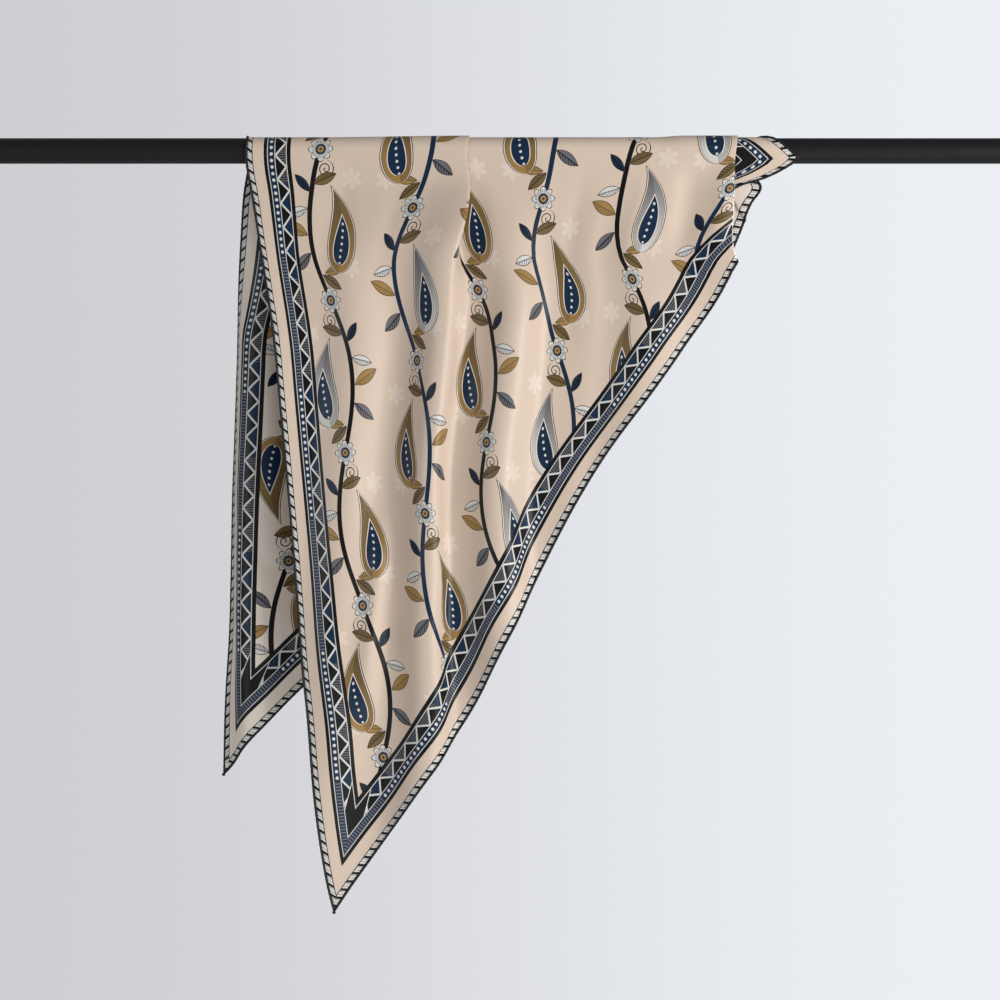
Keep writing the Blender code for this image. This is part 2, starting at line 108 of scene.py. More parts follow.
# %% Tables of folds
# Folds of the front. (across on the rail, across lower down, out, degrees)
FRONT_FOLDS = [
    (-0.120, -0.1200, 0.003, 0.0),
    (-0.010, 0.0200, 0.009, 0.0),
    (0.090, 0.0950, 0.005, 0.0),
    (0.160, 0.1600, 0.019, 0.0),
    (0.240, 0.2280, 0.006, 0.0),
    (0.2905, 0.3050, 0.042, 0.0),
    (0.3385, 0.3530, 0.014, -180.0),
    (0.450, 0.4320, 0.043, 0.0),
    (0.510, 0.4980, 0.014, 0.0),
    (0.570, 0.5700, 0.022, 0.0),
    (0.620, 0.6500, 0.036, 0.0),
    (0.670, 0.7360, 0.026, 6.0),
    (0.733, 0.8280, 0.034, 0.0),
    (0.782, 0.8830, 0.023, -180.0),
    (1.020, 1.0200, 0.017, 0.0),
]
# Folds of the back, in the same columns.
BACK_FOLDS = [
    (-0.120, -0.1200, 0.050, 0.0),
    (-0.060, -0.0380, 0.050, 0.0),
    (0.020, 0.0300, 0.006, 0.0),
    (0.100, 0.1000, 0.026, 0.0),
    (0.210, 0.1850, 0.004, 0.0),
    (0.2905, 0.2700, 0.034, 0.0),
    (0.3385, 0.3300, 0.006, -180.0),
    (0.450, 0.4050, 0.030, 0.0),
    (0.510, 0.4800, 0.004, 0.0),
    (0.570, 0.5500, 0.030, 0.0),
    (0.620, 0.6200, 0.006, 0.0),
    (0.670, 0.6800, 0.022, 6.0),
    (0.733, 0.7350, 0.026, 0.0),
    (0.782, 0.7850, 0.008, -180.0),
    (1.020, 1.0200, 0.006, 0.0),
]
PLEATED_ROWS = 10  # both tables end with this many rows for the same folds
# How deep the folds are. (down, share of the tables above)
FOLD_DEPTH = [
    (0.0, 1.0), (0.30, 1.0), (0.60, 1.0), (0.78, 0.80), (0.90, 0.60), (1.0, 0.50),
]
# Where the front's first pleat folds over. (down, across)
FIRST_PLEAT = [
    (0.0, 0.2905), (0.040, 0.2930), (0.070, 0.3020), (0.100, 0.3100), (0.143, 0.3180),
    (0.180, 0.3170), (0.220, 0.3120), (0.280, 0.3050),
]
FIRST_HIDDEN = 0.0480  # cloth that this pleat hides
# Cloth that the front's second pleat hides. (down, across from fold to fold)
SECOND_PLEAT = [
    (0.0, 0.0490), (0.037, 0.0460), (0.044, 0.0465), (0.050, 0.0490), (0.057, 0.0530),
    (0.063, 0.0580), (0.070, 0.0680), (0.078, 0.0720), (0.090, 0.0680), (0.120, 0.0550),
    (0.280, 0.0550),
]
print("folds: front", len(FRONT_FOLDS), "back", len(BACK_FOLDS))

# %% Tables of the outline
# Where the hung cloth's edges are. (down, distance from EDGE_X along the rail)
FRONT_LEFT = [
    (0.0, 0.0), (0.042, 0.0), (0.083, 0.007), (0.117, 0.0126), (0.163, 0.020),
    (0.203, 0.0265), (0.235, 0.0315), (0.273, 0.0365), (0.330, 0.0416), (0.468, 0.0542),
    (0.592, 0.0643), (0.669, 0.0703), (0.730, 0.0770), (0.844, 0.0868), (0.905, 0.0950),
    (0.947, 0.1026), (0.9805, 0.1109),
]
FRONT_RIGHT = [
    (0.1680, 0.6110), (0.1800, 0.6080), (0.2141, 0.5909), (0.2771, 0.5472),
    (0.3401, 0.5022), (0.4031, 0.4548), (0.4661, 0.4157), (0.5291, 0.3826),
    (0.5921, 0.3513), (0.6551, 0.3202), (0.7181, 0.2892), (0.7811, 0.2495),
    (0.8441, 0.2070), (0.9046, 0.1640), (0.9805, 0.1109),
]
BACK_LEFT = [
    (0.0, 0.0), (0.042, -0.0010), (0.078, -0.0065), (0.131, -0.0110), (0.203, -0.0160),
    (0.276, -0.0188), (0.379, -0.0226), (0.458, -0.0258), (0.572, -0.0282),
    (0.637, -0.0300), (0.716, -0.0345), (0.8173, -0.0365),
]
BACK_RIGHT = [
    (0.050, 0.6500), (0.063, 0.6430), (0.076, 0.6385), (0.089, 0.6365),
    (0.102, 0.6350), (0.139, 0.6210), (0.250, 0.5400), (0.400, 0.3900),
    (0.550, 0.2320), (0.700, 0.0710), (0.7445, 0.0262), (0.7700, 0.0018),
    (0.7950, -0.0210), (0.8173, -0.0365),
]
# Fold of the second pleat, which is the outline where the leg is hidden.
PLEAT_EDGE = [
    (0.0, 0.6180), (0.030, 0.6160), (0.060, 0.6125), (0.150, 0.6045), (0.9805, 0.6060),
]
FRONT_EDGE_FROM = 0.1680  # above this down value the second pleat is the outline
BACK_EDGE_FROM = (0.028, 0.055)  # and the same on the back, where it changes slowly
TIP_LIMIT = 0.94  # share of a tip's length past which the stretch is kept
# A row's stretch is averaged with its neighbours'. (down from the row, share)
AVERAGED = [(-0.030, 0.1), (-0.015, 0.2), (0.0, 0.4), (0.015, 0.2), (0.030, 0.1)]
print("outline read at", len(FRONT_LEFT) + len(FRONT_RIGHT), "places on the front")

# %% [markdown]
# ## Soft creases
#
# Between the folds real silk keeps a few shallow dents and ridges from being
# folded and handled. They are listed one by one and no two are alike. Each has two
# ends on the flat cloth, a half width and a depth, and it fades towards its
# ends. A ridge has a depth above 0 and a trough one below.

# %% Table of creases
# (across, down, across, down, half width, depth)
CREASES = [
    (0.055, 0.090, 0.085, 0.420, 0.016, -0.0016),
    (0.095, 0.051, 0.100, 0.252, 0.012, 0.0015),
    (0.130, 0.025, 0.144, 0.164, 0.013, -0.0018),
    (0.110, 0.580, 0.118, 0.860, 0.011, 0.0015),
    (0.150, 0.340, 0.155, 0.500, 0.012, 0.0014),
    (0.203, 0.480, 0.162, 0.730, 0.018, 0.0140),
    (0.215, 0.060, 0.205, 0.180, 0.014, -0.0016),
    (0.230, 0.640, 0.215, 0.790, 0.012, -0.0018),
    (0.315, 0.427, 0.296, 0.591, 0.010, 0.0040),
    (0.400, 0.050, 0.395, 0.160, 0.012, -0.0020),
    (0.455, 0.380, 0.430, 0.520, 0.011, -0.0016),
    (0.477, 0.025, 0.487, 0.126, 0.013, 0.0018),
    (0.537, 0.051, 0.524, 0.277, 0.013, -0.0022),
    (0.571, 0.063, 0.558, 0.252, 0.012, 0.0014),
    (0.620, 0.051, 0.623, 0.214, 0.014, 0.0022),
    (0.675, 0.044, 0.708, 0.164, 0.020, -0.0062),
    (0.719, 0.044, 0.754, 0.151, 0.013, 0.0052),
    (0.020, 0.280, 0.075, 0.240, 0.010, 0.0010),
    (0.030, -0.10, 0.045, -0.40, 0.014, -0.0016),
    (0.085, -0.20, 0.070, -0.55, 0.012, 0.0016),
    (0.150, -0.06, 0.165, -0.44, 0.015, -0.0018),
    (0.240, -0.08, 0.230, -0.40, 0.013, 0.0018),
    (0.400, -0.05, 0.380, -0.30, 0.014, -0.0020),
    (0.520, -0.06, 0.500, -0.26, 0.012, 0.0018),
    (0.620, -0.05, 0.600, -0.18, 0.012, -0.0016),
    (-0.025, -0.47, 0.045, -0.56, 0.012, 0.0026),
    (-0.030, -0.60, 0.040, -0.64, 0.011, -0.0018),
]
print("creases:", len(CREASES))

# %% [markdown]
# ## From the flat cloth to the hung cloth
#
# For each height one row of the cloth is worked out. The folds say which way
# the cloth heads at every step across, and adding the steps up gives its line
# seen from above, which lets a pleat turn right back under itself. A row is
# then eased or stretched a little as a whole, so that its ends meet the outline.
# Moving points in and out by a wave could not make a pleat.

# %% The flat triangle
def flat_point(along, inward):
    """Across and down, from the lengths along the long edge and in from it."""
    across = along * math.sin(LEAN) + inward * math.cos(LEAN)
    down = along * math.cos(LEAN) - inward * math.sin(LEAN)
    return np.array([across, down])


FRONT_TIP = flat_point(FRONT_PART, 0.0)
BACK_TIP = flat_point(FRONT_PART - LONG_EDGE, 0.0)
CORNER = flat_point(FRONT_PART - HEIGHT, HEIGHT)
print("right angle of the flat cloth: across, down", CORNER.round(3))

# %% Smooth curves through the tables
def smooth_step(start, end, value):
    share = np.clip((np.asarray(value, float) - start) / (end - start), 0.0, 1.0)
    return share * share * (3.0 - 2.0 * share)


def read_curve(value, rows):
    """The table's second column at this value of its first, on a smooth curve."""
    at = np.array([row[0] for row in rows])
    height = np.array([row[1] for row in rows])
    slope = np.gradient(height, at)
    value = float(np.clip(value, at[0], at[-1]))
    i = int(np.clip(np.searchsorted(at, value) - 1, 0, len(at) - 2))
    span = at[i + 1] - at[i]
    u = (value - at[i]) / span
    start = (2 * u**3 - 3 * u**2 + 1) * height[i] + (u**3 - 2 * u**2 + u) * span * slope[i]
    end = (3 * u**2 - 2 * u**3) * height[i + 1] + (u**3 - u**2) * span * slope[i + 1]
    return float(start + end)


print("depth of the folds 0.7 m down:", round(read_curve(0.7, FOLD_DEPTH), 3))

# %% Fold lines and edges at one height
def swing(down):
    """How far the hanging cloth has swung across at this height."""
    sway = FRONT_SWAY if down > 0 else BACK_SWAY
    return sway * down


def fold_lines(down):
    """The table in use and where its fold lines are at this height."""
    table = FRONT_FOLDS if down >= 0 else BACK_FOLDS
    drift = FOLD_DRIFT if down >= 0 else BACK_DRIFT
    formed = float(smooth_step(*FOLDS_FORMED, abs(down)))
    moved = drift * max(0.0, abs(down) - FOLDS_FORMED[1])
    lines = [row[0] + (row[1] - row[0]) * formed - moved for row in table]
    if down < 0:
        ended = float(smooth_step(*BACK_PLEAT_ENDS, -down)) * BACK_PLEAT_LOSS
        lines[-2] = lines[-3] + (lines[-2] - lines[-3]) * (1 - ended)
    else:
        lines[-PLEATED_ROWS] = read_curve(down, FIRST_PLEAT) - moved
        lines[-PLEATED_ROWS + 1] = lines[-PLEATED_ROWS] + FIRST_HIDDEN
        lines[-2] = lines[-3] + read_curve(down, SECOND_PLEAT)
    return table, lines


def turn_length(down):
    return TURN_AT_RAIL + TURN_MORE * float(smooth_step(*TURN_GROWS, abs(down)))


def row_edges(down):
    """Across values of the long edge and of the leg at this height, once hung."""
    left = down * math.tan(LEAN) + swing(down)
    if down >= CORNER[1]:
        share = (FRONT_TIP[1] - down) / (FRONT_TIP[1] - CORNER[1])
        right = FRONT_TIP[0] + (CORNER[0] - FRONT_TIP[0]) * share
    else:
        share = (down - BACK_TIP[1]) / (CORNER[1] - BACK_TIP[1])
        right = BACK_TIP[0] + (CORNER[0] - BACK_TIP[0]) * share
    return left, right + swing(down)


print("edges 0.5 m down the front:", [round(float(edge), 3) for edge in row_edges(0.5)])

# %% Creases on one row
# Shares of a crease's length where it fades in and out.
CREASE_FADES_IN = (-0.15, 0.35)
CREASE_FADES_OUT = (0.65, 1.15)
# No crease lies on the rail. They start between these heights.
CREASES_START = (QUARTER, 0.06)


def creases_on(down):
    """How far the creases stand out along this row."""
    total = np.zeros_like(ACROSS)
    for a0, d0, a1, d1, half_width, depth in CREASES:
        length = math.hypot(a1 - a0, d1 - d0)
        way = ((a1 - a0) / length, (d1 - d0) / length)
        run = ((ACROSS - a0) * way[0] + (down - d0) * way[1]) / length
        off = (ACROSS - a0) * way[1] - (down - d0) * way[0]
        fade = smooth_step(*CREASE_FADES_IN, run) * (1 - smooth_step(*CREASE_FADES_OUT, run))
        total += depth * np.exp(-((off / half_width) ** 2)) * fade
    return total * float(smooth_step(*CREASES_START, abs(down)))


print("highest crease 0.6 m down the front:", creases_on(0.6).max().round(4))

# %% One row in its folds
folded_store = {}


def folded_row(down):
    """One row of the cloth in its folds, before it is stretched to the outline.

    Gives the length along the rail and the distance out for each across, and then
    the length along at the long edge, at the second pleat and at the leg.
    """
    key = round(down, 7)
    if key in folded_store:
        return folded_store[key]
    table, lines = fold_lines(down)
    formed = float(smooth_step(*FOLDS_FORMED, abs(down)))
    opened = float(smooth_step(*PLEAT_OPEN, abs(down)))
    depth = read_curve(abs(down), FOLD_DEPTH) * formed
    heading = np.zeros_like(ACROSS)
    for i in range(1, len(table)):
        length = lines[i] - lines[i - 1]
        inside = (ACROSS >= lines[i - 1]) & (ACROSS < lines[i])
        u = (ACROSS[inside] - lines[i - 1]) / length
        rise = (table[i][2] - table[i - 1][2]) * depth
        slope = rise * math.pi / 2 / length * np.sin(math.pi * u)
        folded = np.arcsin(np.clip(slope, -STEEPEST, STEEPEST))
        degrees = table[i][3]
        if abs(degrees) > PLEAT_DEGREES:
            edge = min(0.5, turn_length(down) / length)
            closed_share = min(1.0, length / (2 * turn_length(down)))
            flat = np.clip(np.minimum(u, 1 - u) / edge, 0.0, 1.0) * closed_share
            # The second pleat stays closed all the way down, and the first one opens.
            if i == len(table) - 2:
                heading[inside] = math.radians(degrees) * flat * (1 - SECOND_EASE * formed)
            else:
                closed = (math.radians(degrees) - folded) * flat
                turned = closed * (1 - opened) + folded * opened
                heading[inside] = turned
                dropped = float(np.sum(np.sin(turned) - np.sin(folded))) * STEP
        else:
            hump = smooth_step(0, 0.5, u) * (1 - smooth_step(0.5, 1, u))
            settle = 2 * math.radians(degrees * PLEAT_RISE)
            heading[inside] = settle * hump * (1 - formed) + folded
    cosine = np.cos(heading)
    sine = np.sin(heading)
    along = np.concatenate([[0.0], np.cumsum(cosine[1:] + cosine[:-1]) * STEP / 2])
    out = np.concatenate([[0.0], np.cumsum(sine[1:] + sine[:-1]) * STEP / 2])
    # The cloth before the first pleat rises by what it drops, so that the rest stays level.
    before = lines[-PLEATED_ROWS]
    raised = dropped * smooth_step(before - PLEAT_RAMP, before, ACROSS)
    out = out + table[0][2] * depth - raised
    left, right = row_edges(down)
    marks = [float(np.interp(value, ACROSS, along)) for value in (left, lines[-3], right)]
    folded_store[key] = (along, out, marks)
    return folded_store[key]


print("0.5 m down, from the long edge:", np.round(folded_row(0.5)[2], 3))

# %% Each row stretched to the outline
def row_start(down):
    """Where the long edge is along the rail, from EDGE_X."""
    return read_curve(abs(down), FRONT_LEFT if down >= 0 else BACK_LEFT)


def row_stretch(down):
    """How much this row is stretched so that its edge meets the outline."""
    down = float(np.clip(down, TIP_LIMIT * BACK_TIP[1], TIP_LIMIT * FRONT_TIP[1]))
    at_left, at_pleat, at_right = folded_row(down)[2]
    start = row_start(down)
    pleat_stretch = (read_curve(abs(down), PLEAT_EDGE) - start) / (at_pleat - at_left)
    if down >= 0:
        reach = read_curve(abs(down), FRONT_RIGHT) - start
        leg_shows = float(down >= FRONT_EDGE_FROM)
    else:
        reach = read_curve(abs(down), BACK_RIGHT) - start
        leg_shows = float(smooth_step(*BACK_EDGE_FROM, -down))
    leg_stretch = reach / (at_right - at_left)
    return pleat_stretch * (1 - leg_shows) + leg_stretch * leg_shows


# The stretch changes slowly, so it is worked out once, every few millimetres.
STRETCH_DOWN = np.arange(BACK_TIP[1] - 0.05, FRONT_TIP[1] + 0.05, 0.003)
STRETCH = np.array([row_stretch(down) for down in STRETCH_DOWN])
print("stretch: least", STRETCH.min().round(3), "most", STRETCH.max().round(3))

# %% Points of the hung cloth
NEARBY = 0.0004
hung_store = {}


def hung_row(down):
    """One row of the hung cloth: its x and how far it stands out, for each across."""
    key = round(down, 7)
    if key not in hung_store:
        along, out, marks = folded_row(down)
        stretch = sum(
            share * np.interp(down + away, STRETCH_DOWN, STRETCH) for away, share in AVERAGED
        )
        x = row_start(down) + (along - marks[0]) * stretch
        hung_store[key] = (x, out + creases_on(down))
    return hung_store[key]


def place_many(across, down):
    """Points of the middle of the cloth, for flat points of one row."""
    along, out = hung_row(down)
    at = np.asarray(across) + swing(down)
    x = EDGE_X + np.interp(at, ACROSS, along)
    stand = WRAP_RADIUS + np.interp(at, ACROSS, out)
    if abs(down) <= QUARTER:
        angle = down / WRAP_RADIUS
        y = -stand * math.sin(angle)
        z = stand * math.cos(angle)
    else:
        y = -stand if down > 0 else stand
        z = np.full_like(x, -(abs(down) - QUARTER) * GIVE)
    return np.stack([x, y, z], axis=-1)


def place(across, down):
    return Vector(place_many([across], down)[0])


def outward(across, down):
    """The direction out of the cloth's right side."""
    by_across = place(across + NEARBY, down) - place(across - NEARBY, down)
    by_down = place(across, down + NEARBY) - place(across, down - NEARBY)
    return -by_across.cross(by_down).normalized()


print("front tip at", [round(v, 3) for v in place(*FRONT_TIP)])

# %% [markdown]
# ## The silk
#
# Real silk twill is a fifth of a millimetre thick, and this sheet is twice that.
# It is a grid in flat numbers, finest where a pleat turns, cut to the triangle
# by three straight cuts and then laid into its hung place. Its UV map keeps the
# flat numbers in metres, so the print follows the cloth round every fold. A
# cloth simulation could drape it too, but it wouldn't find the photograph's
# folds.

# %% Grid of the silk
SHEET_INSET = 0.0013
SHEET_THICKNESS = 0.0004
ROW_STEP = 0.0062
COLUMN_STEP = 0.0062
LEAST_COLUMNS = 6
LEFT_COLUMNS = 68
GRID_LEFT = -0.06
TURN_COLUMNS = 8
WIDEST_TURN = 0.45
BETWEEN_TURNS = 7
OVER_ROWS = 25

# The three straight edges of the flat cloth: a point on it and the way in.
OUTLINE = [
    (np.array([0.0, 0.0]), flat_point(0.0, 1.0)),
    (FRONT_TIP, (flat_point(-1.0, 0.0) - flat_point(0.0, 1.0)) / math.sqrt(2)),
    (BACK_TIP, (flat_point(1.0, 0.0) - flat_point(0.0, 1.0)) / math.sqrt(2)),
]


def columns_at(down):
    """Across values of a row's columns, closest together where a pleat turns."""
    lines = fold_lines(down)[1][-PLEATED_ROWS:]
    rows = FRONT_FOLDS[-PLEATED_ROWS:]
    parts = [np.linspace(GRID_LEFT, lines[0], LEFT_COLUMNS)[:-1]]
    for i in range(1, PLEATED_ROWS):
        length = lines[i] - lines[i - 1]
        count = max(LEAST_COLUMNS, int((rows[i][1] - rows[i - 1][1]) / COLUMN_STEP))
        shares = np.linspace(0, 1, count + 1)
        if abs(rows[i][3]) > PLEAT_DEGREES:
            edge = min(WIDEST_TURN, turn_length(down) / length)
            turn = np.linspace(0, edge, TURN_COLUMNS + 1)
            middle = np.linspace(edge, 1 - edge, BETWEEN_TURNS)[1:-1]
            shares = np.concatenate([turn, middle, 1 - turn[::-1]])
        parts.append(lines[i - 1] + length * shares[:-1])
    parts.append(np.array([lines[-1]]))
    return np.concatenate(parts) - swing(down)


def row_heights():
    over = list(np.linspace(-QUARTER, QUARTER, OVER_ROWS))
    front = list(np.arange(QUARTER, FRONT_TIP[1] + ROW_STEP, ROW_STEP))[1:]
    back = list(-np.arange(QUARTER, -BACK_TIP[1] + ROW_STEP, ROW_STEP))[1:]
    return back[::-1] + over + front


print("rows:", len(row_heights()), "columns:", len(columns_at(0.1)))

# %% Cut the flat cloth
CUT_TOLERANCE = 0.00002
SAME_POINT = 0.0001


def flat_grid():
    """The grid as faces that lie flat, with across as x and down as y."""
    flat = bmesh.new()
    rows = []
    for down in row_heights():
        rows.append([flat.verts.new((a, down, 0.0)) for a in columns_at(down)])
    for upper, lower in zip(rows[:-1], rows[1:]):
        for i in range(len(upper) - 1):
            flat.faces.new((upper[i], lower[i], lower[i + 1], upper[i + 1]))
    return flat


def cut_triangle(flat):
    """Cut away what lies outside the three edges."""
    for base, inward in OUTLINE:
        on_line = base + inward * SHEET_INSET
        bmesh.ops.bisect_plane(
            flat,
            geom=flat.verts[:] + flat.edges[:] + flat.faces[:],
            dist=CUT_TOLERANCE,
            plane_co=(on_line[0], on_line[1], 0.0),
            plane_no=(-inward[0], -inward[1], 0.0),
            clear_outer=True,
        )
    bmesh.ops.remove_doubles(flat, verts=flat.verts[:], dist=SAME_POINT)


cloth = flat_grid()
cut_triangle(cloth)
print("faces of the flat cloth:", len(cloth.faces))

# %% Write the flat numbers and hang the cloth
def keep_flat_numbers(flat):
    """A UV map in metres: along the long edge from the front tip, and in from it."""
    layer = flat.loops.layers.uv.new("flat")
    long_way = flat_point(1.0, 0.0)
    for face in flat.faces:
        for loop in face.loops:
            point = np.array([loop.vert.co.x, loop.vert.co.y])
            along = FRONT_PART - float(np.dot(point, long_way))
            loop[layer].uv = (along, float(np.dot(point, OUTLINE[0][1])))


def hang(flat):
    """Move every point to its place on the hung cloth, one height at a time."""
    by_height = {}
    for vertex in flat.verts:
        by_height.setdefault(round(vertex.co.y, 7), []).append(vertex)
    for down, vertices in by_height.items():
        points = place_many([v.co.x for v in vertices], down)
        for vertex, point in zip(vertices, points):
            vertex.co = point


def add_object(name, data):
    made = bpy.data.objects.new(name, data)
    bpy.context.scene.collection.objects.link(made)
    return made


keep_flat_numbers(cloth)
hang(cloth)
silk_mesh = bpy.data.meshes.new("silk_scarf")
cloth.to_mesh(silk_mesh)
cloth.free()
silk_mesh.polygons.foreach_set("use_smooth", [True] * len(silk_mesh.polygons))
silk = add_object("silk_scarf", silk_mesh)
wall = silk.modifiers.new("thickness", "SOLIDIFY")
wall.thickness = SHEET_THICKNESS
wall.offset = 0.0
wall.material_offset = 1
print("silk faces:", len(silk.data.polygons))

# %% [markdown]
# ## Painting with numbers
#
# A printed pattern can be written as sums on the flat numbers: how far a point
# is from the edge, or from the middle of a leaf. This small helper turns plain
# sums into Blender's Math nodes, so that a motif reads like a formula.

# %% A helper that writes Math nodes
class Sum:
    """A number in a material, which + - * / and the functions below add nodes to."""

    def __init__(self, tree, socket):
        self.tree = tree
        self.socket = socket

    def step(self, operation, *others):
        node = self.tree.nodes.new("ShaderNodeMath")
        node.operation = operation
        for slot, value in zip(node.inputs, (self, *others)):
            if isinstance(value, Sum):
                self.tree.links.new(value.socket, slot)
            else:
                slot.default_value = value
        return Sum(self.tree, node.outputs[0])

    def __add__(self, other):
        return self.step("ADD", other)

    def __sub__(self, other):
        return self.step("SUBTRACT", other)

    def __mul__(self, other):
        return self.step("MULTIPLY", other)

    def __truediv__(self, other):
        return self.step("DIVIDE", other)

    def __neg__(self):
        return self.step("MULTIPLY", -1.0)

    def __lt__(self, other):
        return self.step("LESS_THAN", other)

    def __gt__(self, other):
        return self.step("GREATER_THAN", other)

    def least(self, other):
        return self.step("MINIMUM", other)

    def most(self, other):
        return self.step("MAXIMUM", other)

    def size(self):
        return self.step("ABSOLUTE")

    def floor(self):
        return self.step("FLOOR")

    def rest(self):
        return self.step("FRACT")

    def odd(self):
        """0 for an even whole number and 1 for an odd one."""
        return (self * 0.5).rest() > 0.25

    def sine(self):
        return self.step("SINE")

    def cosine(self):
        return self.step("COSINE")

    def root(self):
        return self.step("SQRT")

    def angle_to(self, other):
        return self.step("ARCTAN2", other)


print("Sum:", Sum.__doc__)

# %% Masks and paint
def within(value, low, high):
    """1 between low and high, and 0 elsewhere."""
    return (value > low) * (value < high)


def distance(u, v):
    return (u * u + v * v).root()


def repeated(value, every):
    """How far the value is from the middle of its repeat, below or above 0."""
    return ((value / every).rest() - 0.5) * every


def paint(tree, under, colour, mask):
    """Lay a colour over what is painted so far, where the mask is 1."""
    node = tree.nodes.new("ShaderNodeMix")
    node.data_type = "RGBA"
    if isinstance(under, tuple):
        node.inputs["A"].default_value = (*under, 1.0)
    else:
        tree.links.new(under, node.inputs["A"])
    if isinstance(colour, tuple):
        node.inputs["B"].default_value = (*colour, 1.0)
    else:
        tree.links.new(colour, node.inputs["B"])
    tree.links.new(mask.socket, node.inputs["Factor"])
    return node.outputs["Result"]


print("paint:", paint.__doc__)

# %% [markdown]
# ## Colours of the print
#
# Warm cream ground, near-black and deep navy lines, gold and brown drops and
# leaves, and grey-white flowers. The numbers are linear red, green and blue.

# %% Colours
CREAM = (0.640, 0.515, 0.415)
PALE_CREAM = (0.760, 0.665, 0.575)
BLACK = (0.0024, 0.0020, 0.0028)
NAVY = (0.0045, 0.0200, 0.0500)
WHITE = (0.620, 0.610, 0.575)
GREY = (0.130, 0.132, 0.150)
GOLD = (0.330, 0.195, 0.062)
OLIVE = (0.150, 0.105, 0.040)
BROWN = (0.050, 0.027, 0.014)
print("cream of the right side:", CREAM, "and of the wrong side:", PALE_CREAM)

# %% [markdown]
# ## The border
#
# Silk scarves are framed by bands that turn the corner with a mitre. The band
# of a point comes from its distance to the nearest edge, so the mitres come by
# themselves. This border is made of plain old patterns: a rope of slanted
# strokes, a line of dots, bars and a zigzag between fine lines. The zigzag stops
# at a short bar before each mitre, where its teeth would run into each other.
#
# Each function below paints one band. In all of them far is a point's distance
# in from the nearest edge, second its distance from the next one, and run how
# far along the edge it lies.

# %% Rope, dots and bars
# Bands are from and to, in from the edge.
HEM_LINE = (0.0, 0.0096)
STROKES = (0.0030, 0.0086)
ROPE_EVERY = 0.0135
ROPE_SLANT = 0.8
STROKE_SHARE = (0.10, 0.80)
STRANDS = 3
STRAND_GAP = 0.12

DOT_BAND = (0.0298, 0.0380)
DOT_EVERY = 0.0082
DOT_DEEP = 0.0339
DOT_RADIUS = 0.0021
BAR_BAND = (0.0306, 0.0372)
BAR_EVERY = 0.0041
BAR_SHARE = 0.45
CHANGE_EVERY = 0.164  # dots and bars take turns along the edge


def add_rope(tree, colour, far, run):
    colour = paint(tree, colour, BLACK, within(far, *HEM_LINE))
    slant = run + far * ROPE_SLANT
    stroke = within((slant / ROPE_EVERY).rest(), *STROKE_SHARE)
    strand = (slant / (ROPE_EVERY / STRANDS)).rest() > STRAND_GAP
    return paint(tree, colour, WHITE, within(far, *STROKES) * stroke * strand)


def add_dots_and_bars(tree, colour, far, run):
    dots_here = (run / CHANGE_EVERY).floor().odd()
    dot = distance(repeated(run, DOT_EVERY), far - DOT_DEEP) < DOT_RADIUS
    colour = paint(tree, colour, WHITE, within(far, *DOT_BAND) * dot * dots_here)
    bar = (run / BAR_EVERY).rest() < BAR_SHARE
    return paint(tree, colour, GREY, within(far, *BAR_BAND) * bar * (dots_here < 0.5))


print("dots and bars change every", CHANGE_EVERY, "m")

# %% Zigzag
ZIG_BAND = (0.0392, 0.0527)
ZIG_DEEP = ZIG_BAND[1] - ZIG_BAND[0]
ZIG_EVERY = 0.030
ZIG_LINE = 0.12
BLOCK_EVERY = 0.120  # teeth are filled plain and hatched by turns
BLOCK_START = 0.05
HATCH_EVERY = 0.0030
MITRE_ROOM = 0.024
CLOSING_HALF = 0.0009


def add_zigzag(tree, colour, far, second, run):
    band = within(far, *ZIG_BAND)
    depth = (far - ZIG_BAND[0]) / ZIG_DEEP
    zig = ((run / ZIG_EVERY).rest() - 0.5).size() * 2.0
    from_mitre = second - far
    straight = from_mitre > MITRE_ROOM
    teeth = band * (depth > zig) * straight
    block = ((run + BLOCK_START) / BLOCK_EVERY).floor().odd()
    hatch = (run / HATCH_EVERY).rest() < 0.5
    colour = paint(tree, colour, NAVY, teeth * block)
    colour = paint(tree, colour, GREY, teeth * (block < 0.5) * hatch)
    line = ((depth - zig).size() < ZIG_LINE) * straight
    colour = paint(tree, colour, WHITE, band * line)
    closing = (from_mitre - MITRE_ROOM).size() < CLOSING_HALF
    return paint(tree, colour, WHITE, band * closing)


print("one tooth of the zigzag:", ZIG_EVERY, "by", round(ZIG_DEEP, 4), "m")

# %% The whole border
FRAME = (0.0240, 0.0590)
NAVY_BAND = (0.0294, 0.0380)
WHITE_LINES = [(0.0284, 0.0294), (0.0380, 0.0390), (0.0529, 0.0539)]


def border(tree, colour, far, second, run):
    colour = add_rope(tree, colour, far, run)
    colour = paint(tree, colour, BLACK, within(far, *FRAME))
    colour = paint(tree, colour, NAVY, within(far, *NAVY_BAND))
    for line in WHITE_LINES:
        colour = paint(tree, colour, WHITE, within(far, *line))
    colour = add_dots_and_bars(tree, colour, far, run)
    return add_zigzag(tree, colour, far, second, run)


print("width of the border:", FRAME[1])

# %% [markdown]
# ## The field
#
# Inside the border run upright vines that sway from side to side. Each bay has
# one large drop, an old shape of woven shawls, with small leaves on both sides,
# a curled tendril, and an eight-petalled flower where the vine crosses over.
# Only one bay is written. The numbers are folded so that it repeats, mirrored
# in every other bay and shifted in every other row, as block-printed cloth is.

# %% A leaf
LEAF_RIM = 0.0009
LEAF_RIB = 0.0007
VEIN_EVERY = 0.0046
VEIN_SHARE = 0.30
VEIN_SLANT = 1.1


